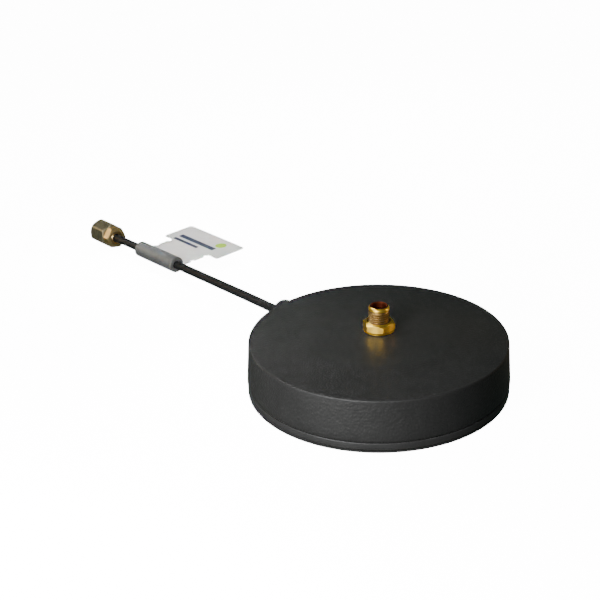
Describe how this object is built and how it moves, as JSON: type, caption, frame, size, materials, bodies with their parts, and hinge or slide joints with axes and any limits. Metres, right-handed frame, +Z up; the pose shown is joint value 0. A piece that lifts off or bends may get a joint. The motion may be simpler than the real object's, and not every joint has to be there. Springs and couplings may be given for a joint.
{
  "type": "magnetic antenna base",
  "caption": "Low round magnetic base with a top SMA jack for an antenna and a short coax pigtail that ends in an SMA plug with a spinning coupling nut.",
  "frame": {"origin": "on the housing's axis at the underside of the pad", "axes": "+Z up along the jack, -X the way the pigtail leaves the wall"},
  "size_m": [0.2033, 0.0802, 0.0263],
  "materials": {
    "housing_plastic": "fine leather grain",
    "plate_plastic": "fine grain",
    "pad_rubber": "matte",
    "relief_rubber": "satin",
    "seal_rubber": "satin",
    "ferrite": "sintered",
    "steel": "zinc plated",
    "gold_plate": "gold plated, polished",
    "ptfe": "smooth",
    "amber_plastic": "smooth dark amber",
    "laminate": "solder mask",
    "tin": "tinned",
    "copper": "bare copper",
    "clamp_plastic": "moulded",
    "cable_jacket": "smooth extruded jacket",
    "label_film": "translucent film"
  },
  "bodies": {
    "base": {"base_pad": "pad_rubber", "base_plate": "plate_plastic", "base_screw_1": "steel", "base_screw_2": "steel", "base_screw_3": "steel", "base_screw_4": "steel", "braid_sleeve": "copper", "cable": "cable_jacket", "cable_clamp": "clamp_plastic", "cable_core": "ptfe", "cable_label": "label_film", "center_lead": "copper", "clamp_screw_1": "steel", "clamp_screw_2": "steel", "ground_clip": "tin", "jack_body": "gold_plate", "jack_contact": "gold_plate", "jack_insulator": "amber_plastic", "jack_nut": "gold_plate", "jack_oring": "seal_rubber", "jack_washer": "gold_plate", "junction_board": "laminate", "plug_body": "gold_plate", "plug_ferrule": "gold_plate", "plug_gasket": "seal_rubber", "plug_insulator": "ptfe", "plug_pin": "gold_plate", "plug_snap_ring": "steel", "ring_magnet": "ferrite", "seal_ring": "seal_rubber", "strain_relief": "relief_rubber", "top_housing": "housing_plastic", "yoke_plate": "steel"},
    "coupling_nut": {"coupling_nut": "gold_plate"}
  },
  "joints": [
    {"name": "coupling_spin", "type": "hinge", "parent": "base", "child": "coupling_nut", "pos_m": [-0.1508, 0.0042, 0.0049], "axis": [-1, 0, 0], "continuous": true}
  ]
}
